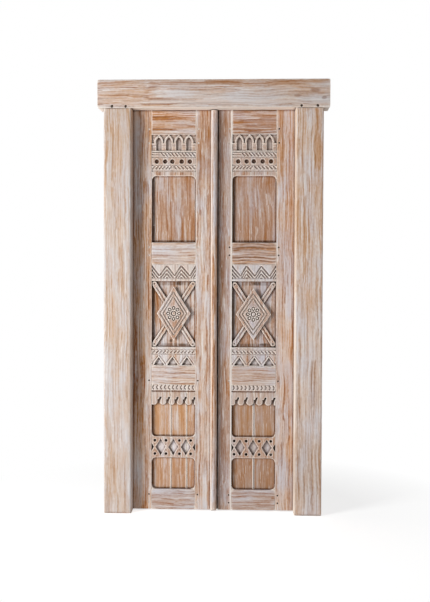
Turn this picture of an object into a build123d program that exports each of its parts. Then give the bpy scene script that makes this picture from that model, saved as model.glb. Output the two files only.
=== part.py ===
from build123d import *
import os
from dataclasses import dataclass
from math import atan2, degrees, hypot

os.makedirs("parts", exist_ok=True)

# A pair of carved doors in a post and lintel frame. Millimetres, front towards -Y.
# The origin is the middle of the footprint, on the floor.

# Frame
total_height = 2100
lintel_length = 1116
lintel_height = 135
lintel_depth = 109
frame_width = 1056
post_width = 134
post_depth = 105
back_y = 49
worn_arris = 7
lintel_arris = 4
tenon_width = 108
tenon_thickness = 36
tenon_height = 80
frame_peg_radius = 6.5
frame_peg_rise = 8
frame_peg_places = (-487, -421, 422, 499)
frame_peg_sink = 2
frame_peg_length = 84

# How the leaves sit in the frame
leaf_thickness = 38
leaf_lap = 12
edge_gap = 2
shoulder_gap = 0.5
floor_gap = 6
seam_x = 21.5
seam_gap = 0.6
seam_bevel = 2.5
seam_land = 12

# Stiles, rails and panels
panel_width = 216
left_panel_x = -303
right_panel_x = 91
panel_setback = 1.5
panel_back = 31
groove_front = 18
groove_back = 26
groove_depth = 9
mortise_front = 16
mortise_back = 28
mortise_length = 50
mortise_shoulder = 12
peg_radius = 4.5
peg_inset = 12
peg_sink = 2
peg_depth = 30
peg_sides = 8

# Heights of the rails above the floor
bottom_rail = (floor_gap, 106)
lower_rail = (622, 716)
middle_rail = (1215, 1322)
top_rail_foot = 1764

# Cover bead on the left leaf
bead_width = 31
bead_height = 24
bead_side = 7
bead_clearance = 2
bead_nose = 9
bead_fullness = 0.72

# Carving
over = 1
field_depth = 17
field_corner = 24
upper_field = (1322, 1647)
upper_lip_groove = 1669
low_field = (106, 263)
mid_field = (366, 524)
ground_depth = 17
ground = (809, 1133)
rope_heights = {"first": (1738, 1763), "second": (1675, 1699), "third": (774, 796)}
rope_cut = 10
rope_cut_depth = 6
rope_flat = 44
rope_strokes = {"first": [(56, 206, 10, -1)], "second": [(11, 93, 6, 1), (116, 207, 6, -1)]}
third_rope = (12, 205, 12)
edge_cut = 7
edge_cut_depth = 4.5
lip_cut = 9
lip_cut_depth = 6
joint_strip = 5
joint_strip_rise = 3
hole_height = 1717
hole_radius = 11
hole_depth = 16
arch_pitch = 49
arch_outer = 22
arch_inner = 13.5
arch_rib_line = (16.5, 19)
arch_foot = 1769
arch_spring = 1805
arch_tip = 1846
arch_bulge = 0.16
arch_nesting = 1.25
arch_depths = {"spandrel": 7, "rib": 5, "shaft": 4, "niche": 16}
zigzag = (1147, 1215)
zigzag_crest = 1208
zigzag_rise = 50
zigzag_step = 19
zigzag_lines = 4
zigzag_cut = 11
zigzag_cut_depth = 7
triangle_band = (719, 768)
triangle_half = 27
triangle_depth = 16
triangle_rib = 9
crescent_band = (599, 621)
crescent_count = 11
crescent_bow = 5
crescent_cut = 8
crescent_cut_depth = 6
groove_height = 591
tooth_band = (524, 563)
tooth_lean = 9
tooth_cut = 12
fret_band = (263, 366)
fret_rim = 7
fret_depth = 16
fret_half_width = 25
fret_waist_edge = 12
fret_eye_radius = 7
fret_eye_rise = 33
fret_nick = 12

# Crossed sticks and the diamond plaque
stick_width = 24
stick_thickness = 11
stick_flute = 9
stick_flute_depth = 4.5
stick_flute_share = 0.88
plaque_thickness = 8
plaque_lines = (0.80, 0.62)
plaque_cut = 9
plaque_cut_depth = 5.5
boss_radius = 8
boss_rim = 5
boss_depth = 5
petal_count = 8
petal_near = 15
petal_far = 38
petal_width = 17
petal_heart = 0.5
petal_depth = 5
stick_nail_head = 4.5
stick_nail_shank = 2
stick_nail_sink = 3
stick_nail_length = 18

# Hinges
hinge_heights = (240, 990, 1740)
hinge_length = 90
knuckles = 3
knuckle_radius = 7
knuckle_gap = 0.4
pin_radius = 3.5
pin_clearance = 0.05
pin_head_width = 11
pin_head = 4
plate_width = 30
plate_thickness = 3
knuckle_relief = 1.2
nail_shank = 4
nail_head = 9
nail_head_height = 2.5
nail_length = 26
nail_spread = 34
nail_stagger = 6

# Worked out from the sizes above
post_front = back_y - post_depth
lintel_front = back_y - lintel_depth
soffit_z = total_height - lintel_height
half_frame = frame_width / 2
half_opening = half_frame - post_width
leaf_front = back_y - leaf_thickness
leaf_top = soffit_z + leaf_lap
leaf_edge = half_opening + leaf_lap
rebate_x = leaf_edge + edge_gap
rebate_y = leaf_front - shoulder_gap
rebate_z = leaf_top + edge_gap
axis_x = leaf_edge + edge_gap / 2
axis_y = back_y - plate_thickness + knuckle_radius
top_rail = (top_rail_foot, leaf_top)
stick_front = ground_depth - stick_thickness
rail_heights = {"bottom": bottom_rail, "lower": lower_rail, "middle": middle_rail, "top": top_rail}
peg_heights = {"bottom": (42, 80), "lower": (644,), "middle": (1260, 1299), "top": (1806, 1874)}


@dataclass
class Leaf:
    """What differs between the two leaves. Carving places count from the panel's left edge."""
    name: str
    side: int
    panel_x: float
    board_joints: tuple
    holes: tuple
    arch_start: float
    zigzag_turns: tuple
    third_rope_lean: int
    diamond_half: tuple
    diamond_centre: tuple
    stick_reach: tuple
    triangles: tuple
    tooth_cuts: tuple
    fret_centres: tuple
    fret_eyes: tuple


left_leaf = Leaf("left", -1, left_panel_x, (95, 173), (25, 66, 101, 147, 187), 34.5,
                 (0, 39, 76, 114, 146, 189, 220), 1, (83, 133), (109, 974), (95, 148),
                 (36, 103, 174), (38, 81, 123, 163, 207), (45, 108, 170), (17, 72, 138, 194))
right_leaf = Leaf("right", 1, right_panel_x, (109,), (29, 70, 105, 148, 189), 34.5,
                  (0, 44, 72, 113, 144, 185, 218), -1, (86, 127), (106, 972), (94, 145),
                  (38, 112, 182), (27, 70, 118, 161, 205), (42, 107, 174), (14, 73, 137, 194))


def block(x_span, y_span, z_span):
    """A box given by its (low, high) limits along each axis."""
    spans = (x_span, y_span, z_span)
    size = [abs(high - low) for low, high in spans]
    centre = [(high + low) / 2 for low, high in spans]
    return Pos(*centre) * Box(*size)


def depth_span(front, back):
    """The Y limits of two depths counted back from the leaf's front face."""
    return leaf_front + front, leaf_front + back


def front_view(depth):
    """A drawing plane seen from the front: drawn x is X, drawn y is Z."""
    return Plane(origin=(0, leaf_front + depth, 0), x_dir=(1, 0, 0), z_dir=(0, -1, 0))


def sunk(drawing, front, back):
    """A front view drawing carried from one depth to a deeper one."""
    return extrude(front_view(back) * drawing, amount=back - front)


def rectangle(x_span, z_span):
    """A front view rectangle from its limits."""
    width, height = x_span[1] - x_span[0], z_span[1] - z_span[0]
    return Pos(x_span[0] + width / 2, z_span[0] + height / 2) * Rectangle(width, height)


def outline(*points):
    """A front view face with straight edges."""
    return make_face(Polyline(*points, close=True))


def v_cut(start, end, width, depth, surface):
    """A straight stroke of a V chisel between two points of the front view."""
    run = Vector(end[0] - start[0], 0, end[1] - start[1])
    across = Vector(0, 1, 0).cross(run).normalized() * (width / 2 * (depth + over) / depth)
    origin = Vector(start[0], leaf_front + surface, start[1])
    corners = [origin + across - Vector(0, over, 0), origin - across - Vector(0, over, 0),
               origin + Vector(0, depth, 0)]
    return Solid.extrude(Face(Wire.make_polygon(corners, close=True)), run)


def chip(points, depth, surface):
    """A chip cut: the drawn corners slope down to one deep point in their middle."""
    middle = Vector(sum(x for x, _ in points) / len(points), sum(z for _, z in points) / len(points))
    spread = (depth + over) / depth
    corners = [middle + (Vector(*point) - middle) * spread for point in points]
    rim = outline(*[(corner.X, corner.Y) for corner in corners])
    bottom = Vertex(middle.X, leaf_front + surface + depth, middle.Y)
    return loft([(front_view(surface - over) * rim).face(), bottom], ruled=True)


def closed(drawing_edges):
    """The face inside a chain of lines and arcs."""
    return make_face(Curve() + list(drawing_edges))


# Frame


def post(side):
    """One post, with its rebate for the leaf and its tenon up into the lintel."""
    outer, inner = side * half_frame, side * half_opening
    body = block(sorted((outer, inner)), (post_front, back_y), (0, soffit_z))
    body -= block(sorted((inner, side * rebate_x)), (rebate_y, back_y), (0, soffit_z))
    arris = Plane.XY * outline((inner, post_front), (inner + side * worn_arris, post_front),
                               (inner, post_front + worn_arris))
    body -= extrude(arris, amount=soffit_z)
    body += block(*tenon_spans(side))
    body -= frame_peg_holes()
    for height in hinge_heights:
        body -= hinge_pocket(side, height, 1)
        body -= hinge_nail_shanks(side, height, 1)
    return body


def tenon_spans(side):
    """Limits of a post's tenon, which is also its mortise."""
    middle = side * (half_frame - post_width / 2)
    return ((middle - tenon_width / 2, middle + tenon_width / 2),
            (post_front + post_depth / 3, post_front + post_depth / 3 + tenon_thickness),
            (soffit_z, soffit_z + tenon_height))


def frame_peg(x, front):
    """One faceted peg, driven in from the front of the lintel."""
    plane = Plane(origin=(x, front, soffit_z + frame_peg_rise), x_dir=(1, 0, 0), z_dir=(0, 1, 0))
    return extrude(plane * RegularPolygon(frame_peg_radius, peg_sides), amount=frame_peg_length)


def frame_peg_holes():
    """The holes stand in pairs through the tenons, where a carpenter's eye put them."""
    return [frame_peg(x, lintel_front) for x in frame_peg_places]


def frame_pegs():
    """The pegs' ends have shrunk a little below the lintel's face."""
    shortening = block((-half_frame, half_frame), (lintel_front - over, lintel_front + frame_peg_sink),
                       (soffit_z, total_height))
    return [peg - shortening for peg in frame_peg_holes()]


def lintel():
    """The beam over both posts, rebated along its lower back edge for the leaves."""
    half = lintel_length / 2
    body = block((-half, half), (lintel_front, back_y), (soffit_z, total_height))
    body -= block((-rebate_x, rebate_x), (rebate_y, back_y), (soffit_z, rebate_z))
    ends = body.edges().filter_by(Axis.Y).filter_by(lambda edge: abs(abs(edge.center().X) - half) < over)
    body = chamfer(ends, lintel_arris)
    for side in (-1, 1):
        body -= block(*tenon_spans(side))
    return body - frame_peg_holes()


# Hinges


def hinge_pocket(side, height, outward):
    """Room let into the back of a post (outward 1) or a leaf (outward -1) for its plate."""
    edge = side * (axis_x + outward * edge_gap / 2)
    low, high = height - hinge_length / 2, height + hinge_length / 2
    plate_end = side * (axis_x + outward * plate_width)
    relief_end = side * (axis_x + outward * (knuckle_radius + knuckle_relief))
    room = block(sorted((edge, plate_end)), (back_y - plate_thickness, back_y), (low, high))
    relief_y = back_y - plate_thickness - knuckle_relief
    relief = block(sorted((edge, relief_end)), (relief_y, back_y), (low, high + pin_head + knuckle_relief))
    return [room, relief]


def hinge_nail_places(side, height, outward):
    """Three staggered nails to a plate."""
    middle = axis_x + outward * (plate_width + knuckle_radius) / 2
    return [(side * (middle + outward * nail_stagger * (1 if row else -1)), height + row * nail_spread)
            for row in (-1, 0, 1)]


def hinge_nail_shanks(side, height, outward):
    """The square shanks, from the plate's face into the wood."""
    half = nail_shank / 2
    return [block((x - half, x + half), (back_y - nail_length, back_y), (z - half, z + half))
            for x, z in hinge_nail_places(side, height, outward)]


def hinge_nails(side, outward):
    """Forged nails of one side's three plates: square shank, pyramid head."""
    half = nail_head / 2
    nails = []
    for height in hinge_heights:
        shanks = hinge_nail_shanks(side, height, outward)
        for (x, z), shank in zip(hinge_nail_places(side, height, outward), shanks):
            plane = Plane(origin=(x, back_y, z), x_dir=(1, 0, 0), z_dir=(0, 1, 0))
            rim = (plane * Rectangle(2 * half, 2 * half)).face()
            head = loft([rim, Vertex(x, back_y + nail_head_height, z)], ruled=True)
            nails.append(shank + head)
    return nails


def hinge_plate(side, height, outward):
    """One plate with the knuckles that belong to it, bored for the pin."""
    pitch = hinge_length / knuckles
    low = height - hinge_length / 2
    clear = knuckle_radius + knuckle_relief / 2
    body = block(sorted((side * (axis_x + outward * clear), side * (axis_x + outward * plate_width))),
                 (back_y - plate_thickness, back_y), (low, low + hinge_length))
    for number in range(knuckles):
        if (number % 2 == 0) != (outward == 1):
            continue
        foot, head = low + number * pitch, low + (number + 1) * pitch
        if outward == -1:
            foot, head = foot + knuckle_gap, head - knuckle_gap
        barrel = Pos(side * axis_x, axis_y, (foot + head) / 2) * Cylinder(knuckle_radius, head - foot)
        web = block(sorted((side * axis_x, side * (axis_x + outward * clear))),
                    (back_y - plate_thickness, back_y), (foot, head))
        body += barrel + web
    bore = Pos(side * axis_x, axis_y, height) * Cylinder(pin_radius + pin_clearance, hinge_length + 2 * over)
    return body - bore - hinge_nail_shanks(side, height, outward)


def hinge_pin(side, height):
    """The pin hangs by its square forged head on the highest knuckle."""
    top = height + hinge_length / 2
    shank = Pos(side * axis_x, axis_y, height) * Cylinder(pin_radius, hinge_length)
    head = Pos(side * axis_x, axis_y, top + pin_head / 2) * Box(pin_head_width, pin_head_width, pin_head)
    return shank + head


# Leaf framing


def panel_span(leaf):
    return leaf.panel_x, leaf.panel_x + panel_width


def stile_profile(leaf, hanging):
    """Plan of a stile. The meeting edges are bevelled in front, so that the leaves clear each other."""
    low, high = panel_span(leaf)
    if hanging:
        inner, outer = (low, -leaf_edge) if leaf.side < 0 else (high, leaf_edge)
        return outline((inner, leaf_front), (outer, leaf_front), (outer, back_y), (inner, back_y))
    inner = high if leaf.side < 0 else low
    rear = seam_x + leaf.side * seam_gap / 2
    front = rear + leaf.side * seam_bevel
    return outline((inner, leaf_front), (front, leaf_front), (rear, back_y - seam_land), (rear, back_y),
                   (inner, back_y))


def stile(leaf, hanging):
    """A stile with its panel grooves, mortises, peg holes and, on the hanging one, hinge pockets."""
    body = extrude(Plane.XY.offset(floor_gap) * stile_profile(leaf, hanging), amount=leaf_top - floor_gap)
    low, high = panel_span(leaf)
    inner, outward = (low, -1) if (leaf.side < 0) == hanging else (high, 1)
    groove_x = sorted((inner, inner + outward * groove_depth))
    mortise_x = sorted((inner, inner + outward * mortise_length))
    for foot, head in panel_openings():
        body -= block(groove_x, depth_span(groove_front, groove_back),
                      (foot - groove_depth, head + groove_depth))
    for foot, head in rail_heights.values():
        body -= block(mortise_x, depth_span(mortise_front, mortise_back), mortise_limits(foot, head))
    body -= peg_holes(leaf)
    if hanging:
        for height in hinge_heights:
            body -= hinge_pocket(leaf.side, height, -1)
            body -= hinge_nail_shanks(leaf.side, height, -1)
    return body


def panel_openings():
    """The heights between one rail and the next."""
    return [(bottom_rail[1], lower_rail[0]), (lower_rail[1], middle_rail[0]), (middle_rail[1], top_rail[0])]


def mortise_limits(foot, head):
    return foot + mortise_shoulder, head - mortise_shoulder


def rail(leaf, name):
    """A rail with a tenon at each end and a groove along each edge that holds a panel."""
    foot, head = rail_heights[name]
    low, high = panel_span(leaf)
    body = block((low, high), (leaf_front, back_y), (foot, head))
    body += block((low - mortise_length, high + mortise_length), depth_span(mortise_front, mortise_back),
                  mortise_limits(foot, head))
    grooved = block((low, high), depth_span(groove_front, groove_back), (head - groove_depth, head))
    if name != "top":
        body -= grooved
    if name != "bottom":
        body -= Pos(0, 0, foot + groove_depth - head) * grooved
    body -= peg_holes(leaf)
    return body


def peg_prisms(leaf, front):
    """Faceted pegs through the joints, from a depth below the face."""
    low, high = panel_span(leaf)
    shape = RegularPolygon(peg_radius, peg_sides)
    return [sunk(Pos(x, z) * shape, front, peg_depth)
            for heights in peg_heights.values() for z in heights
            for x in (low - peg_inset, high + peg_inset)]


def peg_holes(leaf):
    return peg_prisms(leaf, -over)


def pegs(leaf):
    return peg_prisms(leaf, peg_sink)


def bead(leaf):
    """The half-round cover strip, flush with the meeting edge, its foot rounded to a nose."""
    right = seam_x - seam_gap / 2 - seam_bevel
    middle = right - bead_width / 2
    half = bead_width / 2
    side_y = leaf_front - bead_side
    crown = (middle, leaf_front - bead_height)
    flank = bead_width / 2 * bead_fullness
    shoulder_y = leaf_front - bead_side - (bead_height - bead_side) * bead_fullness
    section = closed([
        Line((middle - half, leaf_front), (middle - half, side_y)),
        ThreePointArc((middle - half, side_y), (middle - flank, shoulder_y), crown),
        ThreePointArc(crown, (middle + flank, shoulder_y), (middle + half, side_y)),
        Line((middle + half, side_y), (middle + half, leaf_front)),
        Line((middle + half, leaf_front), (middle - half, leaf_front)),
    ])
    foot, head = floor_gap, soffit_z - bead_clearance
    body = extrude(Plane.XY.offset(foot) * section, amount=head - foot)
    nose = extrude(Plane.YZ * outline((crown[1] - over, foot - over), (crown[1] + bead_nose, foot - over),
                                      (crown[1] - over, foot + bead_nose)), amount=lintel_length, both=True)
    return body - nose


# Carving


def panel_blank(leaf, foot, head):
    """An uncarved panel with its tongue all round."""
    low, high = panel_span(leaf)
    body = block((low, high), depth_span(panel_setback, panel_back), (foot, head))
    tongue = block((low - groove_depth, high + groove_depth), depth_span(groove_front, groove_back),
                   (foot - groove_depth, head + groove_depth))
    return body + tongue


def rope(leaf, band, runs):
    """A twisted band: a line along each edge, and slanted strokes in runs of (first, last, count, lean)."""
    foot, head = rope_heights[band]
    low, high = panel_span(leaf)
    lines = [v_cut((low, z), (high, z), edge_cut, edge_cut_depth, panel_setback) for z in (foot, head)]
    reach = (head - foot) / 2 - edge_cut_depth
    middle = (foot + head) / 2
    for first, last, count, lean in runs:
        for place in even_places(first, last, count):
            x = low + place
            lines.append(v_cut((x - lean * reach, middle - reach), (x + lean * reach, middle + reach),
                               rope_cut, rope_cut_depth, panel_setback))
    return lines


def even_places(first, last, count):
    """Evenly spaced places from first to last."""
    return [first + (last - first) * number / (count - 1) for number in range(count)]


def blind_holes(leaf):
    """The row of drilled holes between the two upper rope bands."""
    return [sunk(Pos(leaf.panel_x + place, hole_height) * Circle(hole_radius), -over, hole_depth)
            for place in leaf.holes]


def field(leaf, limits, round_top, round_bottom):
    """A plain sunk field, with its upper or lower corners rounded."""
    shape = rectangle(panel_span(leaf), limits)
    middle = (limits[0] + limits[1]) / 2
    corners = [corner for corner in shape.vertices()
               if (round_top and corner.Y > middle) or (round_bottom and corner.Y < middle)]
    return sunk(fillet(corners, field_corner), -over, field_depth)


def upper_panel(leaf):
    """Two rope bands with a row of holes between them, over a tall plain field."""
    low, high = panel_span(leaf)
    body = panel_blank(leaf, middle_rail[1], top_rail[0])
    cuts = rope(leaf, "first", rope_strokes["first"]) + rope(leaf, "second", rope_strokes["second"])
    flat_line = sum(rope_heights["first"]) / 2
    cuts.append(v_cut((low, flat_line), (low + rope_flat, flat_line), edge_cut, edge_cut_depth,
                      panel_setback))
    cuts += blind_holes(leaf)
    cuts.append(v_cut((low, upper_lip_groove), (high, upper_lip_groove), edge_cut, edge_cut_depth,
                      panel_setback))
    cuts.append(field(leaf, upper_field, True, False))
    return body - cuts


def pointed_arch(middle, half, tip):
    """A niche outline: straight jambs, then two haunches that meet in a point."""
    left, right, top = (middle - half, arch_spring), (middle + half, arch_spring), (middle, tip)
    rise = tip - arch_spring
    push = arch_bulge * hypot(half, rise)
    lean = push * rise / hypot(half, rise)
    lift = push * half / hypot(half, rise)
    left_haunch = (middle - half / 2 - lean, arch_spring + rise / 2 + lift)
    right_haunch = (middle + half / 2 + lean, arch_spring + rise / 2 + lift)
    return closed([
        Line((middle - half, arch_foot), left),
        ThreePointArc(left, left_haunch, top),
        ThreePointArc(top, right_haunch, right),
        Line(right, (middle + half, arch_foot)),
        Line((middle + half, arch_foot), (middle - half, arch_foot)),
    ])


def arch_at(middle, half):
    """Arches of one niche share their shape, so the tip follows the half width."""
    return pointed_arch(middle, half, arch_tip - (arch_outer - half) * arch_nesting)


def arcade(leaf):
    """Four pointed niches with double ribs, on short columns."""
    low, high = panel_span(leaf)
    middles = [low + leaf.arch_start + number * arch_pitch for number in range(4)]
    above = rectangle((low, high), (arch_spring, arch_tip + over))
    spandrel = above
    for middle in middles:
        spandrel -= arch_at(middle, arch_outer)
    cuts = [sunk(spandrel, -over, arch_depths["spandrel"])]
    shafts = rectangle((low, high), (arch_foot, arch_spring - arch_rib_line[0] / 3))
    cuts.append(sunk(shafts, -over, arch_depths["shaft"]))
    for middle in middles:
        inner_line, outer_line = (arch_at(middle, half) & above for half in arch_rib_line)
        cuts.append(sunk(outer_line - inner_line, -over, arch_depths["rib"]))
        cuts.append(sunk(arch_at(middle, arch_inner), -over, arch_depths["niche"]))
    return cuts


def top_rail_carved(leaf):
    return rail(leaf, "top") - arcade(leaf)


def zigzag_cuts(leaf):
    """Nested zigzag lines, cut off square by the band's edges."""
    low, high = panel_span(leaf)
    band = block((low, high), depth_span(-over, ground_depth), zigzag)
    cuts = []
    for line in range(zigzag_lines):
        crest = zigzag_crest - line * zigzag_step
        heights = [crest if turn % 2 == 0 else crest - zigzag_rise for turn in range(len(leaf.zigzag_turns))]
        turns = [(low + place, z) for place, z in zip(leaf.zigzag_turns, heights)]
        for start, end in zip(turns, turns[1:]):
            cuts.append(v_cut(start, end, zigzag_cut, zigzag_cut_depth, panel_setback) & band)
    cuts.append(v_cut((low, zigzag[0]), (high, zigzag[0]), edge_cut, edge_cut_depth, panel_setback))
    return cuts


def triangle_cuts(leaf):
    """Pointed recesses with ribbed edges, so that pendant teeth stand between them."""
    foot, head = triangle_band
    cuts = []
    for place in leaf.triangles:
        middle = leaf.panel_x + place
        cuts.append(sunk(outline((middle - triangle_half, foot), (middle, head - triangle_rib),
                                 (middle + triangle_half, foot)), -over, triangle_depth))
        for hand in (-1, 1):
            rib_foot = (middle + hand * (triangle_half + triangle_rib), foot + triangle_rib / 2)
            rib_head = (middle + hand * triangle_rib / 4, head)
            cuts.append(v_cut(rib_foot, rib_head, edge_cut, edge_cut_depth, panel_setback))
    return cuts


def middle_panel(leaf):
    """Zigzag band, the sunk ground of the crossed sticks, a rope band and the triangles."""
    body = panel_blank(leaf, lower_rail[1], middle_rail[0])
    cuts = zigzag_cuts(leaf)
    cuts.append(sunk(rectangle(panel_span(leaf), ground), -over, ground_depth))
    cuts += rope(leaf, "third", [(*third_rope, leaf.third_rope_lean)])
    cuts += triangle_cuts(leaf)
    return body - cuts - stick_nail_shanks(leaf)


def crescents(leaf):
    """A row of bowed strokes, which bow away from the meeting edge."""
    foot, head = crescent_band
    cuts = []
    for place in even_places(2 * crescent_bow, panel_width - 2 * crescent_bow, crescent_count):
        x = leaf.panel_x + place
        waist = (x + leaf.side * crescent_bow, (foot + head) / 2)
        for end in (foot, head):
            tip = (x - leaf.side * crescent_bow / 2, end)
            cuts.append(v_cut(tip, waist, crescent_cut, crescent_cut_depth, panel_setback))
    return cuts


def toothed_field(leaf):
    """The upper of the two board fields, whose top edge is a row of pendant rounded teeth."""
    low, high = panel_span(leaf)
    foot, head = tooth_band
    shape = rectangle((low, high), (mid_field[0], head - tooth_cut))
    bottom_corners = [corner for corner in shape.vertices() if corner.Y < foot]
    shape = fillet(bottom_corners, field_corner)
    marks = [low - tooth_cut, *[low + place for place in leaf.tooth_cuts], high + tooth_cut]
    for start, end in zip(marks, marks[1:]):
        left, right = start - tooth_lean + tooth_cut, end - tooth_lean
        width = right - left
        tooth = RectangleRounded(width, 2 * (head - foot), width / 2 - over)
        shape -= Pos((left + right) / 2, head) * tooth
    cuts = [sunk(shape, -over, field_depth)]
    for x in marks[1:-1]:
        slit = outline((x - tooth_lean, foot + tooth_cut), (x - tooth_lean + tooth_cut, foot + tooth_cut),
                       (x + tooth_lean + tooth_cut / 4, head), (x + tooth_lean - tooth_cut / 2, head))
        cuts.append(sunk(slit, -over, field_depth))
    return cuts


def fret(leaf):
    """Blind fret: sunk diamonds leave waisted figures between them, each with two eyes and two nicks."""
    low, high = panel_span(leaf)
    foot, head = fret_band[0] + fret_rim, fret_band[1] - fret_rim
    middle_z = (foot + head) / 2
    half_height = (head - foot) / 2 - fret_rim / 2
    edges = (low + fret_waist_edge - fret_half_width, high - fret_waist_edge + fret_half_width)
    cuts = []
    for x in (edges[0], *[low + place for place in leaf.fret_centres], edges[1]):
        diamond = outline((x - fret_half_width, middle_z), (x, middle_z + half_height),
                          (x + fret_half_width, middle_z), (x, middle_z - half_height))
        cuts.append(sunk(diamond & rectangle((low, high), fret_band), -over, fret_depth))
    for place in leaf.fret_eyes:
        x = low + place
        for hand in (-1, 1):
            eye = Pos(x, middle_z + hand * fret_eye_rise) * Circle(fret_eye_radius)
            cuts.append(sunk(eye, -over, fret_depth))
            tip = middle_z + hand * fret_nick / 2
            cuts.append(chip([(x, tip), (x + fret_nick / 2, tip + hand * fret_nick),
                              (x - fret_nick / 2, tip + hand * fret_nick)], edge_cut_depth, panel_setback))
    return cuts


def lower_panel(leaf):
    """Everything carved across the lower boards."""
    low, high = panel_span(leaf)
    body = panel_blank(leaf, bottom_rail[1], lower_rail[0])
    cuts = crescents(leaf)
    cuts.append(v_cut((low, groove_height), (high, groove_height), lip_cut, lip_cut_depth, panel_setback))
    cuts += toothed_field(leaf)
    cuts += fret(leaf)
    cuts.append(field(leaf, low_field, True, True))
    return body - cuts + joint_strips(leaf)


def joint_strips(leaf):
    """A narrow raised strip on a board's edge, along each joint that a plain field shows."""
    rise = depth_span(field_depth - joint_strip_rise, field_depth)
    return [block((leaf.panel_x + place - joint_strip, leaf.panel_x + place), rise, limits)
            for place in leaf.board_joints for limits in (low_field, (mid_field[0], tooth_band[0]))]


def lower_boards(leaf):
    """The lower panel is made of boards set edge to edge."""
    panel = lower_panel(leaf)
    low, high = panel_span(leaf)
    edges = [low - groove_depth, *[low + place for place in leaf.board_joints], high + groove_depth]
    return [panel & block(span, (leaf_front, back_y), (0, leaf_top)) for span in zip(edges, edges[1:])]


# Crossed sticks, nails and plaque


def ground_centre(leaf):
    return leaf.panel_x + panel_width / 2, (ground[0] + ground[1]) / 2


def stick_nail_places(leaf):
    """A nail at each end of each stick."""
    x, z = ground_centre(leaf)
    reach_x, reach_z = leaf.stick_reach
    return [(x + across * reach_x, z + up * reach_z) for across in (-1, 1) for up in (-1, 1)]


def stick_nail_top():
    """Outline of a nail's faceted head."""
    return RegularPolygon(stick_nail_head, peg_sides)


def stick_nail_section():
    """Outline of a nail's square shank."""
    return Rectangle(2 * stick_nail_shank, 2 * stick_nail_shank)


def stick_nail_shanks(leaf):
    return [sunk(Pos(x, z) * stick_nail_section(), stick_front, stick_front + stick_nail_length)
            for x, z in stick_nail_places(leaf)]


def stick_nails(leaf):
    """Forged nails, driven below the face of the sticks."""
    face = stick_front + stick_nail_sink
    nails = []
    for x, z in stick_nail_places(leaf):
        head = sunk(Pos(x, z) * stick_nail_top(), face, face + stick_nail_shank)
        nails.append(head + sunk(Pos(x, z) * stick_nail_section(), face, stick_front + stick_nail_length))
    return nails


def stick(leaf, lean):
    """One fluted stick. The two are halved over each other where they cross."""
    x, z = ground_centre(leaf)
    reach_x, reach_z = leaf.stick_reach
    angle = degrees(atan2(lean * reach_z, reach_x))
    length = 2 * hypot(reach_x, reach_z) + stick_width
    body = sunk(Pos(x, z) * Rot(0, 0, angle) * SlotOverall(length, stick_width), stick_front, ground_depth)
    middle = (stick_front + ground_depth) / 2
    halving = (stick_front, middle) if lean > 0 else (middle, ground_depth)
    other = Pos(x, z) * Rot(0, 0, -angle) * Rectangle(length, stick_width)
    body -= sunk(other, *halving)
    ends = [(x + hand * reach_x, z + hand * lean * reach_z) for hand in (-1, 1)]
    flute_x, flute_z = reach_x * stick_flute_share, reach_z * stick_flute_share
    flute = [(x + hand * flute_x, z + hand * lean * flute_z) for hand in (-1, 1)]
    body -= v_cut(*flute, stick_flute, stick_flute_depth, stick_front)
    for place in ends:
        body -= sunk(Pos(*place) * stick_nail_top(), stick_front - over,
                     stick_front + stick_nail_sink + stick_nail_shank)
        body -= sunk(Pos(*place) * stick_nail_section(), stick_front, ground_depth)
    return body


def diamond(centre, half, share):
    """Corners of the plaque's outline, drawn in by a share."""
    x, z = centre
    across, up = half[0] * share, half[1] * share
    return [(x - across, z), (x, z + up), (x + across, z), (x, z - up)]


def petal_outline(share):
    """A petal that points away from the boss, drawn in to its middle by a share."""
    middle, half = (petal_near + petal_far) / 2, (petal_far - petal_near) / 2 * share
    side = petal_width / 2 * share
    return outline((middle - half, 0), (middle - half / 3, side), (middle + half / 2, side),
                   (middle + half, 0), (middle + half / 2, -side), (middle - half / 3, -side))


def plaque(leaf):
    """Diamond plaque with two drawn-in lines and a rosette: a boss inside a ring of outlined petals."""
    centre = (leaf.panel_x + leaf.diamond_centre[0], leaf.diamond_centre[1])
    front = stick_front - plaque_thickness
    body = sunk(outline(*diamond(centre, leaf.diamond_half, 1)), front, stick_front)
    cuts = []
    for share in plaque_lines:
        corners = diamond(centre, leaf.diamond_half, share)
        for start, end in zip(corners, corners[1:] + corners[:1]):
            cuts.append(v_cut(start, end, plaque_cut, plaque_cut_depth, front))
    ring = Circle(boss_radius + boss_rim) - Circle(boss_radius)
    cuts.append(sunk(Pos(*centre) * ring, front - over, front + boss_depth))
    petal = petal_outline(1) - petal_outline(petal_heart)
    for number in range(petal_count):
        turned = Rot(0, 0, number * 360 / petal_count) * petal
        cuts.append(sunk(Pos(*centre) * turned, front - over, front + petal_depth))
    return body - cuts


# Output


def leaf_nodes(leaf):
    """Every piece of one leaf, by name."""
    nodes = {
        f"{leaf.name}_hanging_stile": stile(leaf, True),
        f"{leaf.name}_meeting_stile": stile(leaf, False),
        f"{leaf.name}_top_rail": top_rail_carved(leaf),
        f"{leaf.name}_upper_panel": upper_panel(leaf),
        f"{leaf.name}_middle_panel": middle_panel(leaf),
        f"{leaf.name}_stick_under": stick(leaf, 1),
        f"{leaf.name}_stick_over": stick(leaf, -1),
        f"{leaf.name}_stick_nails": stick_nails(leaf),
        f"{leaf.name}_diamond_plaque": plaque(leaf),
        f"{leaf.name}_pegs": pegs(leaf),
        f"{leaf.name}_hinge_nails": hinge_nails(leaf.side, -1),
    }
    for name in ("middle", "lower", "bottom"):
        nodes[f"{leaf.name}_{name}_rail"] = rail(leaf, name)
    for number, board in enumerate(lower_boards(leaf), 1):
        nodes[f"{leaf.name}_board_{number}"] = board
    for number, height in enumerate(hinge_heights, 1):
        nodes[f"{leaf.name}_leaf_plate_{number}"] = hinge_plate(leaf.side, height, -1)
    return nodes


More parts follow.
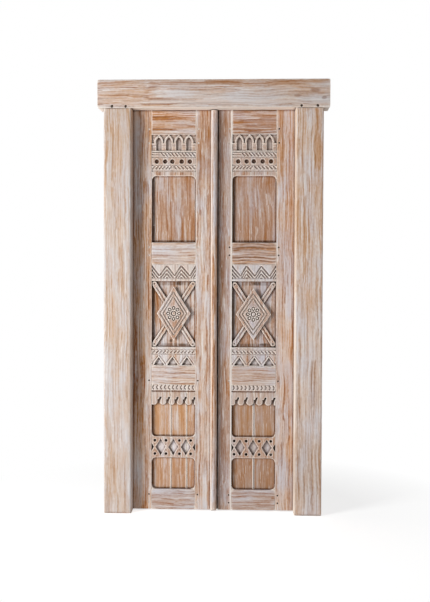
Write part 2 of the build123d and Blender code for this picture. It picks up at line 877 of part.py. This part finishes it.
def frame_nodes():
    """Every piece that stays still, by name."""
    nodes = {
        "lintel": lintel(),
        "left_post": post(-1),
        "right_post": post(1),
        "frame_pegs": frame_pegs(),
        "jamb_hinge_nails": hinge_nails(-1, 1) + hinge_nails(1, 1),
    }
    for leaf in (left_leaf, right_leaf):
        for number, height in enumerate(hinge_heights, 1):
            nodes[f"{leaf.name}_jamb_plate_{number}"] = hinge_plate(leaf.side, height, 1)
            nodes[f"{leaf.name}_hinge_pin_{number}"] = hinge_pin(leaf.side, height)
    return nodes


nodes = {**frame_nodes(), **leaf_nodes(left_leaf), **leaf_nodes(right_leaf)}
nodes["left_cover_bead"] = bead(left_leaf)
for name, shape in nodes.items():
    whole = Compound(children=shape) if isinstance(shape, list) else shape
    export_step(whole, f"parts/{name}.step")
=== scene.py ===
import math
import bpy
import numpy as np
from mathutils import Matrix, Vector


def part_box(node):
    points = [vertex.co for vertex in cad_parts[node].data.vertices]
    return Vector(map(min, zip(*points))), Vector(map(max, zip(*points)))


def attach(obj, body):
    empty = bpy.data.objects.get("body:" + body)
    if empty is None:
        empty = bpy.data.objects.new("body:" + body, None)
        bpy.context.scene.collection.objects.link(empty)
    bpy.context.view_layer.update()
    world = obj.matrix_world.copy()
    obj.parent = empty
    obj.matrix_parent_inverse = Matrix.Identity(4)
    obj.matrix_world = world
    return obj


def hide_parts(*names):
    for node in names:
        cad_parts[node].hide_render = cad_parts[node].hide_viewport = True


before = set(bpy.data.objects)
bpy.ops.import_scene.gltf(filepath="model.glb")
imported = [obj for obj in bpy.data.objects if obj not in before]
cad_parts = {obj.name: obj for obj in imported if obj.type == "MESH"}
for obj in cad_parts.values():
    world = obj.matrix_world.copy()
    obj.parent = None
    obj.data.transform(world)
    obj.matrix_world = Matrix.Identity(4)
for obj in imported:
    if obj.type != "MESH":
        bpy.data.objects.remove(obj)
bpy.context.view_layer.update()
coarse = 1.0  # a trial run takes larger voxels
print("stage: frame loaded,", len(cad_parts), "nodes")


# Small helpers


def makeActive(piece):
    for item in bpy.context.selected_objects:
        item.select_set(False)
    piece.select_set(True)
    bpy.context.view_layer.objects.active = piece


def applyModifier(piece, kind, **settings):
    step = piece.modifiers.new(kind.title(), kind)
    for key, value in settings.items():
        setattr(step, key, value)
    makeActive(piece)
    bpy.ops.object.modifier_apply(modifier=step.name)


def srgb(code):  # hex colour to the linear values that the shaders take
    parts = [int(code[start:start + 2], 16) / 255 for start in (1, 3, 5)]
    return (*[part / 12.92 if part <= 0.04045 else ((part + 0.055) / 1.055) ** 2.4 for part in parts], 1.0)


def newMaterial(name):
    material = bpy.data.materials.new(name)
    material.use_nodes = True
    material.node_tree.nodes.clear()
    return material, material.node_tree


def addNode(tree, kind, feeds, **settings):  # a node with its settings, its fixed values and its links
    made = tree.nodes.new(kind)
    for key, value in settings.items():
        setattr(made, key, value)
    for place, value in feeds.items():
        if isinstance(value, bpy.types.NodeSocket):
            tree.links.new(value, made.inputs[place])
        else:
            made.inputs[place].default_value = value
    return made


def mathNode(tree, operation, *values):
    return addNode(tree, "ShaderNodeMath", dict(enumerate(values)), operation=operation).outputs[0]


def vectorNode(tree, operation, *values):
    return addNode(tree, "ShaderNodeVectorMath", dict(enumerate(values)), operation=operation).outputs


def ramp(tree, value, low, high, start=0.0, end=1.0):  # from start to end as the value goes from low to high
    feeds = {"Value": value, "From Min": low, "From Max": high, "To Min": start, "To Max": end}
    return addNode(tree, "ShaderNodeMapRange", feeds).outputs[0]


def noiseNode(tree, place, scale, detail):
    return addNode(tree, "ShaderNodeTexNoise", {"Vector": place, "Scale": scale, "Detail": detail}).outputs


def mixColour(tree, factor, below, above):
    feeds = {"Factor": factor, 6: below, 7: above}
    return addNode(tree, "ShaderNodeMix", feeds, data_type="RGBA").outputs[2]


def objectPlace(tree):  # a point's place in the piece's own coordinates
    return addNode(tree, "ShaderNodeTexCoord", {}).outputs["Object"]


def finishWith(tree, look, height, feeds):  # the relief, the shader and the material's output
    relief = {"Strength": look["bumpStrength"], "Distance": look["bump"], "Height": height}
    bump = addNode(tree, "ShaderNodeBump", relief)
    shader = addNode(tree, "ShaderNodeBsdfPrincipled", {**feeds, "Normal": bump.outputs[0]})
    addNode(tree, "ShaderNodeOutputMaterial", {"Surface": shader.outputs[0]})


# Camera and stage

view = {"place": (0.1700, -4.2485, 1.1587), "turn": 2.17, "down": 1.65, "roll": 0.18,
        "focalPixels": 870.8, "imageHeight": 602, "sensor": 36.0}


def setUpCamera():
    bpy.ops.object.camera_add(location=view["place"])
    camera = bpy.context.object
    camera.data.sensor_width = view["sensor"]
    camera.data.lens = view["focalPixels"] * view["sensor"] / view["imageHeight"]  # along the long side
    turn = (Matrix.Rotation(math.radians(view["turn"]), 4, "Z")
            @ Matrix.Rotation(math.radians(90 - view["down"]), 4, "X")
            @ Matrix.Rotation(math.radians(view["roll"]), 4, "Z"))
    camera.matrix_world = Matrix.Translation(view["place"]) @ turn
    bpy.context.scene.camera = camera


studio = {"keyPlace": (-2.80, -2.45, 1.10), "keySize": (1.35, 2.0), "keyPower": 122,
          "sidePlace": (2.6, -2.8, 1.3), "sideSize": (2.0, 2.0), "sidePower": 9, "aim": (0.0, 0.0, 1.05),
          "fill": 0.13, "floorSize": 60.0, "shadowReach": (0.75, 1.4),
          "floorLift": 0.27, "floorGlow": 0.72, "floorBounce": 0.85, "floorSeen": 0.80}
white = (1, 1, 1, 1)


def setUpLamp(name, place, size, power):
    bpy.ops.object.light_add(type="AREA", location=place)
    lamp = bpy.context.object
    lamp.name = name
    lamp.data.shape = "RECTANGLE"
    lamp.data.size, lamp.data.size_y = size
    lamp.data.energy = power
    lamp.rotation_euler = (Vector(studio["aim"]) - Vector(place)).to_track_quat("-Z", "Y").to_euler()


def seenBy(tree, *rays):  # 1 for these kinds of ray, 0 for the light that falls on things
    path = addNode(tree, "ShaderNodeLightPath", {}).outputs
    seen = path[rays[0]]
    for ray in rays[1:]:
        seen = mathNode(tree, "MAXIMUM", seen, path[ray])
    return seen


def setUpBackground():  # plain white where it is seen, and a weak fill as a light
    world = bpy.data.worlds.new("studioWhite")
    bpy.context.scene.world = world
    world.use_nodes = True
    tree = world.node_tree
    tree.nodes.clear()
    seen = seenBy(tree, "Is Camera Ray", "Is Glossy Ray", "Is Transmission Ray")
    strength = ramp(tree, seen, 0.0, 1.0, studio["fill"], 1.0)
    light = addNode(tree, "ShaderNodeBackground", {"Color": white, "Strength": strength})
    addNode(tree, "ShaderNodeOutputWorld", {"Surface": light.outputs[0]})


def whitePaper(name):  # takes the soft shadow of the feet, and is plain white farther out
    material, tree = newMaterial(name)
    seen = seenBy(tree, "Is Camera Ray", "Is Glossy Ray")
    glow = ramp(tree, seen, 0.0, 1.0, studio["floorLift"], studio["floorGlow"])
    paper = ramp(tree, seen, 0.0, 1.0, studio["floorBounce"], studio["floorSeen"])
    lit = addNode(tree, "ShaderNodeBsdfDiffuse", {"Color": paper})
    lifted = addNode(tree, "ShaderNodeEmission", {"Color": white, "Strength": glow})
    near = addNode(tree, "ShaderNodeAddShader", {0: lit.outputs[0], 1: lifted.outputs[0]})
    away = vectorNode(tree, "LENGTH", objectPlace(tree))["Value"]
    beyond = mathNode(tree, "MULTIPLY", ramp(tree, away, *studio["shadowReach"]), seen)
    plain = addNode(tree, "ShaderNodeEmission", {"Color": white, "Strength": 1.0})
    whole = addNode(tree, "ShaderNodeMixShader", {0: beyond, 1: near.outputs[0], 2: plain.outputs[0]})
    addNode(tree, "ShaderNodeOutputMaterial", {"Surface": whole.outputs[0]})
    return material


def setUpFloor():
    bpy.ops.mesh.primitive_plane_add(size=studio["floorSize"], location=(0, 0, 0))
    floor = bpy.context.object
    floor.name = "studioFloor"
    floor.data.materials.append(whitePaper("matteWhiteFloor"))


setUpCamera()
setUpLamp("softKey", studio["keyPlace"], studio["keySize"], studio["keyPower"])
setUpLamp("softSide", studio["sidePlace"], studio["sideSize"], studio["sidePower"])
setUpBackground()
setUpFloor()
bpy.context.scene.view_settings.view_transform = "Standard"
print("stage: camera, lamps and floor")


# Limed teak: an open brown wood, brushed along the grain, washed with white lime and rubbed back.
# The eye sees brown streaks through a chalky white, browner on worn fields, dark dirt and painted shade deep
# in the cuts.

# Patterns give their width and length in metres, across and along the grain. Reaches, warp and bump are
# metres too. A span holds the two values between which a colour comes in, of a pattern or of how enclosed or
# worn a place is.
# Stain and dirt darken the enclosed places, the cuts and corners: partly dirt, partly painted shade where
# little light gets in.
teak = {"wood": "#C68A4C", "deep": "#915A2E", "lime": "#DAD3CE", "cool": "#CFD5E1", "chalk": "#EFE9E4",
        "arris": "#F6EDE3", "stain": "#7A4A2A", "dirt": "#2C1B0F",
        "band": (0.020, 0.60), "streak": (0.0072, 0.42), "fibre": (0.0044, 0.22), "blotch": (0.070, 0.20),
        "speckle": (0.008, 0.014), "swayScale": 5.0, "swayDetail": 4.0, "warp": 0.028,
        "shifts": ((1.37, 7), (2.11, 5), (0.73, 9)),
        "amount": 0.55, "amountShift": 0.20, "contrast": 0.80, "limeSpread": 0.070, "cover": 0.90,
        "brownSpan": (0.34, 0.58), "coolSpan": (0.45, 0.62), "coolAmount": 0.55, "patchySpan": (0.42, 0.56),
        "knotSpan": (0.55, 1.05), "knotBend": 1.6,
        "poreSpan": (0.40, 0.30), "chalkSpan": (0.57, 0.68), "lineAmount": 0.45,
        "raySamples": 8, "rimReach": 0.006, "rimSpan": (0.92, 0.55), "rimAmount": 0.0,
        "dirtReach": 0.013, "stainSpan": (0.50, 0.94), "stainAmount": 0.72,
        "dirtSpan": (0.20, 0.62), "dirtAmount": 0.92, "arrisSpan": (0.507, 0.560), "arrisAmount": 0.80,
        "rough": 0.70, "limeRough": 0.90, "ior": 1.5, "shine": 0.25,
        "bump": 0.0013, "bumpStrength": 0.8, "fibreRelief": 0.5, "zones": [], "knots": []}
grainShares = {"band": 0.19, "streak": 0.31, "fibre": 0.20, "blotch": 0.20, "speckle": 0.10}
grainDetail = {"band": 2.0, "streak": 2.0, "fibre": 4.0, "blotch": 2.0, "speckle": 2.0}


# A colour on the part of a piece inside these limits. Even is the share that stays where the lime is thick.
def tint(colour, amount, soft=0.002, even=0.5, **limits):
    return {"colour": colour, "amount": amount, "soft": soft, "even": even, "limits": limits}


def knotAt(place, size, amount, colour):  # place and size are along x and z
    return {"place": place, "size": size, "amount": amount, "colour": colour}


def zoneMask(tree, place, limits, soft):  # 1 inside a box of the piece's own coordinates, soft at its limits
    mask = None
    for axis, (low, high) in limits.items():
        middle, half = (low + high) / 2, (high - low) / 2
        away = mathNode(tree, "ABSOLUTE", mathNode(tree, "SUBTRACT", place.outputs[axis], middle))
        inside = ramp(tree, away, half - soft, half + soft, 1.0, 0.0)
        mask = inside if mask is None else mathNode(tree, "MULTIPLY", mask, inside)
    return mask


def knotMask(tree, coords, sway, knot, look):  # its amount at the heart, none past a rim that the grain bends
    (x, z), (halfWide, halfTall) = knot["place"], knot["size"]
    bend = (halfWide * look["knotBend"], 0, halfTall * look["knotBend"])
    bent = vectorNode(tree, "MULTIPLY_ADD", sway, bend, coords)[0]
    moved = vectorNode(tree, "SUBTRACT", bent, (x, 0, z))[0]
    scaled = vectorNode(tree, "MULTIPLY", moved, (1 / halfWide, 0, 1 / halfTall))[0]
    away = vectorNode(tree, "LENGTH", scaled)["Value"]
    return ramp(tree, away, *look["knotSpan"], knot["amount"], 0.0)


def grainPatterns(tree, look, seed, grain, coords):  # the patterns of the grain, their sum and how they sway
    lay = (0, math.radians(90), 0) if grain == "X" else (0, 0, 0)  # turns the pattern to run along the grain
    shift = tuple(seed * step % limit for step, limit in look["shifts"])  # each piece has its own part of it
    turned = {"Vector": coords, "Location": shift, "Rotation": lay}
    aligned = addNode(tree, "ShaderNodeMapping", turned).outputs[0]
    wander = noiseNode(tree, aligned, look["swayScale"], look["swayDetail"])["Color"]
    sway = vectorNode(tree, "SUBTRACT", wander, (0.5, 0.5, 0.5))[0]
    warped = vectorNode(tree, "MULTIPLY_ADD", sway, (look["warp"], look["warp"], 0), aligned)[0]
    patterns, total = {}, 0.0
    for key, share in grainShares.items():
        width, length = look[key]
        scaled = vectorNode(tree, "MULTIPLY", warped, (1 / width, 1 / width, 1 / length))[0]
        patterns[key] = noiseNode(tree, scaled, 1.0, grainDetail[key])["Fac"]
        total = mathNode(tree, "MULTIPLY_ADD", patterns[key], share, total)
    return patterns, total, sway


def limedTeak(name, seed, grain, changes):
    look = {**teak, **changes}
    material, tree = newMaterial(name)
    coords = objectPlace(tree)
    place = addNode(tree, "ShaderNodeSeparateXYZ", {0: coords})
    patterns, total, sway = grainPatterns(tree, look, seed, grain, coords)
    centre = 0.5 + (0.5 - look["amount"]) * look["amountShift"]
    spread = look["limeSpread"] / look["contrast"]
    limed = ramp(tree, total, centre - spread, centre + spread, 0.0, look["cover"])
    browns = ramp(tree, patterns["streak"], *look["brownSpan"])
    colour = mixColour(tree, browns, srgb(look["deep"]), srgb(look["wood"]))
    chilled = ramp(tree, patterns["blotch"], *look["coolSpan"], 0.0, look["coolAmount"])
    lime = mixColour(tree, chilled, srgb(look["lime"]), srgb(look["cool"]))
    colour = mixColour(tree, limed, colour, lime)
    for zone in look["zones"]:  # a tint on a part of the piece, which gives way where the lime is thick
        mask = zoneMask(tree, place, zone["limits"], zone["soft"])
        patchy = ramp(tree, total, *look["patchySpan"], zone["amount"], zone["amount"] * zone["even"])
        colour = mixColour(tree, mathNode(tree, "MULTIPLY", mask, patchy), colour, srgb(zone["colour"]))
    for knot in look["knots"]:
        colour = mixColour(tree, knotMask(tree, coords, sway, knot, look), colour, srgb(knot["colour"]))
    for span, tint in (("poreSpan", "deep"), ("chalkSpan", "chalk")):  # open pores, and lime left in others
        line = ramp(tree, patterns["fibre"], *look[span], 0.0, look["lineAmount"])
        colour = mixColour(tree, line, colour, srgb(look[tint]))
    samples = look["raySamples"]
    if look["rimAmount"]:  # the rims and ridges of the carving, rubbed white
        reach = {"Distance": look["rimReach"]}
        thin = addNode(tree, "ShaderNodeAmbientOcclusion", reach, samples=samples, inside=True)
        rim = ramp(tree, thin.outputs["AO"], *look["rimSpan"], 0.0, look["rimAmount"])
        colour = mixColour(tree, rim, colour, srgb(look["arris"]))
    corner = addNode(tree, "ShaderNodeAmbientOcclusion", {"Distance": look["dirtReach"]}, samples=samples)
    for key in ("stain", "dirt"):  # dirt and painted shade: a brown wash round the cuts, then the dark at their bottoms, by how enclosed a place is
        held = ramp(tree, corner.outputs["AO"], *look[key + "Span"], look[key + "Amount"], 0.0)
        colour = mixColour(tree, held, colour, srgb(look[key]))
    shape = addNode(tree, "ShaderNodeNewGeometry", {})
    worn = ramp(tree, shape.outputs["Pointiness"], *look["arrisSpan"], 0.0, look["arrisAmount"])
    colour = mixColour(tree, worn, colour, srgb(look["arris"]))
    height = mathNode(tree, "MULTIPLY_ADD", patterns["fibre"], look["fibreRelief"], patterns["streak"])
    rough = ramp(tree, limed, 0.0, 1.0, look["rough"], look["limeRough"])
    finishWith(tree, look, height, {"Base Color": colour, "Roughness": rough, "IOR": look["ior"],
                                    "Specular IOR Level": look["shine"]})
    return material


# The metallic and rough values are those of the bare steel and of the rust
forged = {"steel": "#4B423B", "rust": "#6E4630", "patchSize": 0.006, "detail": 4.0, "rustSpan": (0.42, 0.62),
          "metallic": (0.85, 0.10), "rough": (0.48, 0.85), "bump": 0.0005, "bumpStrength": 0.6}


def forgedIron(name):  # hammered wrought iron, dark with a dry brown rust
    material, tree = newMaterial(name)
    patches = noiseNode(tree, objectPlace(tree), 1 / forged["patchSize"], forged["detail"])["Fac"]
    rusted = ramp(tree, patches, *forged["rustSpan"])
    colour = mixColour(tree, rusted, srgb(forged["steel"]), srgb(forged["rust"]))
    metallic = ramp(tree, rusted, 0.0, 1.0, *forged["metallic"])
    rough = ramp(tree, rusted, 0.0, 1.0, *forged["rough"])
    finishWith(tree, forged, patches, {"Base Color": colour, "Metallic": metallic, "Roughness": rough})
    return material


pegLook = {"dark": "#1F150E", "oiled": "#4A3526", "limed": "#CDBDAF", "pores": 0.0014, "detail": 2.0,
           "soft": 0.002, "rough": 0.8, "bump": 0.0004, "bumpStrength": 0.5}


def pegWood(name, darkPlaces):  # end grain of pegs: nearly black with oil where it shows, else limed over
    material, tree = newMaterial(name)
    coords = objectPlace(tree)
    place = addNode(tree, "ShaderNodeSeparateXYZ", {0: coords})
    pores = noiseNode(tree, coords, 1 / pegLook["pores"], pegLook["detail"])["Fac"]
    dark = mixColour(tree, pores, srgb(pegLook["dark"]), srgb(pegLook["oiled"]))
    colour = mixColour(tree, pores, srgb(pegLook["limed"]), srgb(teak["lime"]))
    for limits in darkPlaces:
        colour = mixColour(tree, zoneMask(tree, place, limits, pegLook["soft"]), colour, dark)
    finishWith(tree, pegLook, pores, {"Base Color": colour, "Roughness": pegLook["rough"]})
    return material


# Wooden pieces: each is a copy of its solid, re-cut as worn hand work

# In metres: the voxel, the waver to either side, the size of its waves, and hold, which sets what lies this
# near to a piece's two sides back on them. Keep is the share of the faces that stays.
beamCut = {"voxel": 0.0030, "keep": 0.18, "waver": 0.0008, "waverSize": 0.045, "smooth": 2}
plainCut = {"voxel": 0.0023, "keep": 0.145, "waver": 0.0006, "waverSize": 0.040, "smooth": 2}
closeCut = {"voxel": 0.0023, "keep": 0.145, "waver": 0.0003, "waverSize": 0.040, "smooth": 1, "hold": 0.0014}
carvedCut = {"voxel": 0.0015, "keep": 0.275, "waver": 0.0006, "waverSize": 0.020, "smooth": 1}
smallCut = {"voxel": 0.0011, "keep": 0.29, "waver": 0.0005, "waverSize": 0.012, "smooth": 1}
hand = {"weld": 0.00002, "smoothing": 0.5, "fineSize": 0.35, "fineWaver": 0.45, "waverDetail": 1,
        "crease": 50}


def copyOfNode(node, name):
    piece = bpy.data.objects.new(name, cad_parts[node].data.copy())
    bpy.context.collection.objects.link(piece)
    piece.data.materials.clear()
    makeActive(piece)
    bpy.ops.object.mode_set(mode="EDIT")
    bpy.ops.mesh.select_all(action="SELECT")
    bpy.ops.mesh.remove_doubles(threshold=hand["weld"])
    bpy.ops.object.mode_set(mode="OBJECT")
    return piece


def handCut(piece, node, cut):  # softens the edges, makes the surfaces uneven, stays in the solid's box
    applyModifier(piece, "REMESH", mode="VOXEL", voxel_size=cut["voxel"] * coarse)
    applyModifier(piece, "SMOOTH", factor=hand["smoothing"], iterations=cut["smooth"])
    size, waver = cut["waverSize"], cut["waver"]
    for waveSize, depth in ((size, waver), (size * hand["fineSize"], waver * hand["fineWaver"])):
        clouds = bpy.data.textures.new(piece.name + "Waver", "CLOUDS")
        clouds.noise_scale = waveSize
        clouds.noise_depth = hand["waverDetail"]
        applyModifier(piece, "DISPLACE", texture=clouds, texture_coords="LOCAL", mid_level=0.5,
                      strength=depth * 2)
    applyModifier(piece, "DECIMATE", ratio=min(1.0, cut["keep"] * coarse))
    low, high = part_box(node)
    points = np.empty(len(piece.data.vertices) * 3)
    piece.data.vertices.foreach_get("co", points)
    points = np.clip(points.reshape(-1, 3), low, high)
    hold = cut.get("hold", 0)
    across = points[:, 0]  # a view, so what is set in it is set in the points
    across[across < low[0] + hold] = low[0]
    across[across > high[0] - hold] = high[0]
    piece.data.vertices.foreach_set("co", points.ravel())
    piece.data.update()
    makeActive(piece)
    bpy.ops.object.shade_smooth_by_angle(angle=math.radians(hand["crease"]))


def woodenPiece(node, body, cut, grain, changes):
    name = "".join(part.title() for part in node.split("_"))
    piece = copyOfNode(node, name[0].lower() + name[1:])
    handCut(piece, node, cut)
    piece.data.materials.append(limedTeak(piece.name + "Teak", len(woodPieces) + 1, grain, changes))
    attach(piece, body)
    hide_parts(node)
    woodPieces.append(piece)


woodPieces = []

# The lintel has a brown upper edge, a pale streak, a white lower arris, painted highlight of the light from
# below, and three knots at its right end. The left post is greyer. The right post is golden above, brown near
# its foot, white along its inner arris, partly rubbed lime and partly painted highlight of the light from the
# left, and dark along its outer edge.
frameLook = {
    "lintel": ("X", {
        "amount": 0.61, "contrast": 0.66, "coolAmount": 0.35,
        "zones": [tint("#A5744B", 0.60, soft=0.006, Z=(2.074, 2.11)),
                  tint("#DEDAD8", 0.55, soft=0.005, Z=(1.984, 2.000), X=(-0.30, 0.60)),
                  tint("#F6EBE0", 0.85, soft=0.001, even=0.9, Z=(1.950, 1.9672))],
        "knots": [knotAt((0.485, 2.046), (0.030, 0.012), 0.60, "#8F5F3C"),
                  knotAt((0.400, 2.020), (0.022, 0.008), 0.50, "#8F5F3C"),
                  knotAt((0.530, 2.010), (0.014, 0.010), 0.55, "#7A4A2C")]}),
    "left_post": ("Z", {
        "amount": 0.70, "contrast": 0.58, "coolAmount": 0.35,
        "wood": "#C89868", "deep": "#A67646", "lime": "#CDC7C3",
        "zones": [tint("#B98C60", 0.35, soft=0.15, even=0.2, Z=(1.55, 2.10))]}),
    "right_post": ("Z", {
        "amount": 0.68, "contrast": 0.70, "coolAmount": 0.4,
        "wood": "#CB9254", "deep": "#97653A", "lime": "#E3DCD8", "cool": "#D2D5E2",
        "zones": [tint("#F0E4D6", 0.80, soft=0.002, even=0.8, X=(0.380, 0.4005)),
                  tint("#C38A4C", 0.50, soft=0.12, even=0.12, Z=(1.00, 2.10)),
                  tint("#8F6B50", 0.35, soft=0.06, even=0.4, Z=(0.08, 0.36)),
                  tint("#8A5638", 0.45, soft=0.003, even=0.5, X=(0.520, 0.54))]}),
}
for node, (grain, changes) in frameLook.items():
    woodenPiece(node, "frame", beamCut, grain, changes)
print("stage: frame cut")


# The tints of the carved bands and sunk fields of both leaves, by their heights

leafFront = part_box("left_middle_rail")[0][1]  # y of the leaves' front face
sunkDepths = (leafFront + 0.008, leafFront + 0.030)  # between these lie the sunk fields


def sunkBand(low, high, colour, amount, even=0.5):  # a band of heights, only below the carved face
    return tint(colour, amount, even=even, Z=(low, high), Y=sunkDepths)


def sunkStrip(low, high, heights, colour, amount, soft=0.003):  # an upright strip on the sunk fields
    return tint(colour, amount, soft=soft, even=0.85, X=(low, high), Z=heights, Y=sunkDepths)


def faceBand(low, high, colour, amount):  # a band of heights on the carved face and in its cuts
    return tint(colour, amount, soft=0.004, Z=(low, high))


railCarving = [
    faceBand(1.872, 1.990, "#9A6A45", 0.35), faceBand(1.766, 1.850, "#D8D2CE", 0.45),
    sunkBand(1.766, 1.845, "#CFC8C4", 0.70)]
# The last band of the upper field, a dark line at its foot, is painted shade over the dark of the joint
# there.
upperCarving = [
    faceBand(1.669, 1.762, "#D9D1CA", 0.40), faceBand(1.703, 1.733, "#A56C3A", 0.50),
    sunkBand(1.323, 1.646, "#A06C42", 0.65), sunkBand(1.320, 1.333, "#2E1B0E", 0.95)]
middleCarving = [
    faceBand(1.140, 1.212, "#DAD5D2", 0.45), faceBand(1.213, 1.222, "#8A4E2C", 0.50),
    sunkBand(0.810, 1.132, "#9A683F", 0.62, even=0.10), sunkBand(1.112, 1.134, "#4A2E1C", 0.60),
    sunkBand(0.808, 0.826, "#4A2E1C", 0.60), faceBand(0.774, 0.809, "#D6CEC9", 0.30),
    sunkBand(0.719, 0.770, "#DAD6D6", 0.85)]
# The two dark bands at 0.366 and 0.105, at the feet of the board fields, are painted shade.
boardCarving = [
    faceBand(0.596, 0.622, "#E0DBD8", 0.65), faceBand(0.585, 0.594, "#7C5136", 0.75),
    faceBand(0.524, 0.584, "#C9BBB0", 0.45), sunkBand(0.366, 0.530, "#BF8C5C", 0.80),
    faceBand(0.262, 0.367, "#AE7F5B", 0.55), sunkBand(0.263, 0.366, "#E6E4E8", 0.98),
    sunkBand(0.106, 0.262, "#B58256", 0.75), sunkBand(0.366, 0.374, "#3A2415", 0.85),
    sunkBand(0.105, 0.112, "#3A2415", 0.85)]
groundKnots = [knotAt(place, size, amount, "#46301F") for place, size, amount in (
    ((-0.168, 1.120), (0.019, 0.013), 0.85), ((-0.285, 1.106), (0.007, 0.016), 0.85),
    ((-0.104, 1.112), (0.008, 0.012), 0.70), ((-0.209, 0.838), (0.009, 0.010), 0.80),
    ((-0.150, 0.818), (0.030, 0.006), 0.60), ((0.215, 1.121), (0.024, 0.011), 0.75),
    ((0.112, 1.104), (0.008, 0.016), 0.85), ((0.250, 0.822), (0.028, 0.008), 0.70))]

panelFields = ((1.320, 1.646), (0.810, 1.132))
boardFields = ((0.366, 0.530), (0.106, 0.262))
boardHeights = (0.106, 0.530)


def leftEdgeShadows(start, panelEnd, boardEnd):  # painted shadow: the left edge of every sunk field is dark, where the stile's shadow falls under the light from the left
    return ([sunkStrip(start, panelEnd, heights, "#33200F", 0.80) for heights in panelFields]
            + [sunkStrip(start, boardEnd, heights, "#4A2D18", 0.70) for heights in boardFields])


# Pale lime stands along the joints of the boards; the right leaf's fields are darker, painted shade for the
# light falling off towards the right; and every sunk field carries its painted shadow along its left edge
stripZones = {
    "left": leftEdgeShadows(-0.306, -0.289, -0.294)
            + [sunkStrip(joint - 0.0035, joint + 0.0035, boardHeights, "#EBDDD0", 0.85, 0.001)
               for joint in (-0.208, -0.130)],
    "right": [sunkStrip(0.0, 0.4, boardHeights, "#80604C", 0.32)]
             + leftEdgeShadows(0.088, 0.105, 0.100)
             + [sunkStrip(0.194, 0.206, boardHeights, "#B8AFAE", 0.85, 0.002)],
}


# Both leaves: grain, cut, slot and look of each part, then what differs by side and by piece

# Carved pieces: rims rubbed white, and a wider span of dirt and painted shade in their cuts
carvedWearAndShade = {"dirtSpan": (0.34, 0.86), "rimAmount": 0.80}
boardLook = {"amount": 0.55, **carvedWearAndShade, "zones": boardCarving}
leafLook = {
    "hanging_stile": ("Z", closeCut, "leaf_wood", {"amount": 0.55}),
    "meeting_stile": ("Z", closeCut, "leaf_wood", {"amount": 0.60}),
    "top_rail": ("X", carvedCut, "carved_wood", {
        "amount": 0.36, "deep": "#8A5226", **carvedWearAndShade, "zones": railCarving}),
    "middle_rail": ("X", plainCut, "leaf_wood", {"amount": 0.68}),
    "lower_rail": ("X", plainCut, "leaf_wood", {"amount": 0.64}),
    "bottom_rail": ("X", plainCut, "leaf_wood", {"amount": 0.56, "wood": "#AC8468", "lime": "#CBC3C1"}),
    "upper_panel": ("Z", carvedCut, "carved_wood", {"amount": 0.58, **carvedWearAndShade, "zones": upperCarving}),
    "middle_panel": ("Z", carvedCut, "carved_wood", {
        "amount": 0.70, "contrast": 0.95, **carvedWearAndShade, "zones": middleCarving, "knots": groundKnots}),
    "stick_under": ("Z", smallCut, "carved_wood", {"amount": 0.58, **carvedWearAndShade}),
    "stick_over": ("Z", smallCut, "carved_wood", {"amount": 0.58, **carvedWearAndShade}),
    "diamond_plaque": ("Z", smallCut, "carved_wood", {"amount": 0.52, "wood": "#BB8254", **carvedWearAndShade}),
    **{f"board_{number}": ("Z", carvedCut, "board_wood", boardLook) for number in (1, 2, 3)},
}
sideTone = {
    "left": {},
    "right": {"wood": "#BC8350", "lime": "#CEC7C4", "cool": "#C6CAD9"},  # the right leaf is toned darker, painted shade for the light falling off towards the right
}
# painted shadow of the cover bead on the right meeting stile, over the brown of the wood there
beadShadowAndBrown = tint("#6F4D35", 0.72, soft=0.018, even=0.7, X=(0.0, 0.058))
panelLine = tint("#F2ECE6", 0.85, soft=0.001, even=0.7, X=(0.0835, 0.092))
leafChanges = {
    "left_meeting_stile": {"zones": [tint("#A06E44", 0.62, soft=0.12, Z=(1.60, 2.0))]},
    "right_meeting_stile": {"amount": 0.55, "zones": [beadShadowAndBrown, panelLine]},
    "right_middle_rail": {"amount": 0.40, "deep": "#7A5238"},
    "right_lower_rail": {"amount": 0.66},
    "right_hanging_stile": {"amount": 0.55, "wood": "#C68C52", "lime": "#DDD6D2",
                            "zones": [tint("#BC8246", 0.50, soft=0.10, even=0.10, Z=(1.30, 2.10))]},
}
for side in ("left", "right"):
    for part, (grain, cut, slot, changes) in leafLook.items():
        node = side + "_" + part
        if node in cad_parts:
            changes = {**sideTone[side], **changes, **leafChanges.get(node, {})}
            if part.endswith("panel") or part.startswith("board"):
                changes["zones"] = changes["zones"] + stripZones[side]
            woodenPiece(node, side + "_leaf", cut, grain, changes)
    print("stage:", side, "leaf cut")
# the cream tint on the bead's left flank is a painted highlight, where the light from the left falls on it
beadLook = {"amount": 0.55, "zones": [tint("#F0E6DA", 0.75, X=(-0.016, -0.006))]}
woodenPiece("left_cover_bead", "left_leaf", plainCut, "Z", beadLook)
print("stage: cover bead cut")


# Pegs, nails and hinges keep their solids and get their finish

darkPegs = {  # where the oil still shows through the lime
    "frame_pegs": [{"Z": (0.0, 3.0)}],
    "left_pegs": [{"Z": (0.63, 0.66)}, {"Z": (0.065, 0.095)}],
    "right_pegs": [{"Z": (1.25, 1.31)}, {"Z": (0.02, 0.10)}, {"Z": (0.63, 0.66), "X": (0.2, 0.5)},
                   {"Z": (1.79, 1.89), "X": (0.2, 0.5)}],
}
ironFinish = forgedIron("wroughtIronDryRust")
for node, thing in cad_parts.items():
    finish = None
    if node in darkPegs:
        finish = pegWood(node.title().replace("_", "") + "EndGrain", darkPegs[node])
    elif "nails" in node or "plate" in node or "hinge_pin" in node:
        finish = ironFinish
    if finish:
        thing.data.materials.clear()
        thing.data.materials.append(finish)
print("stage: pegs and iron finished")

triangles = {piece.name: sum(len(face.vertices) - 2 for face in piece.data.polygons) for piece in woodPieces}
largest = max(triangles, key=triangles.get)
print("triangles added:", sum(triangles.values()), "largest:", triangles[largest], largest)
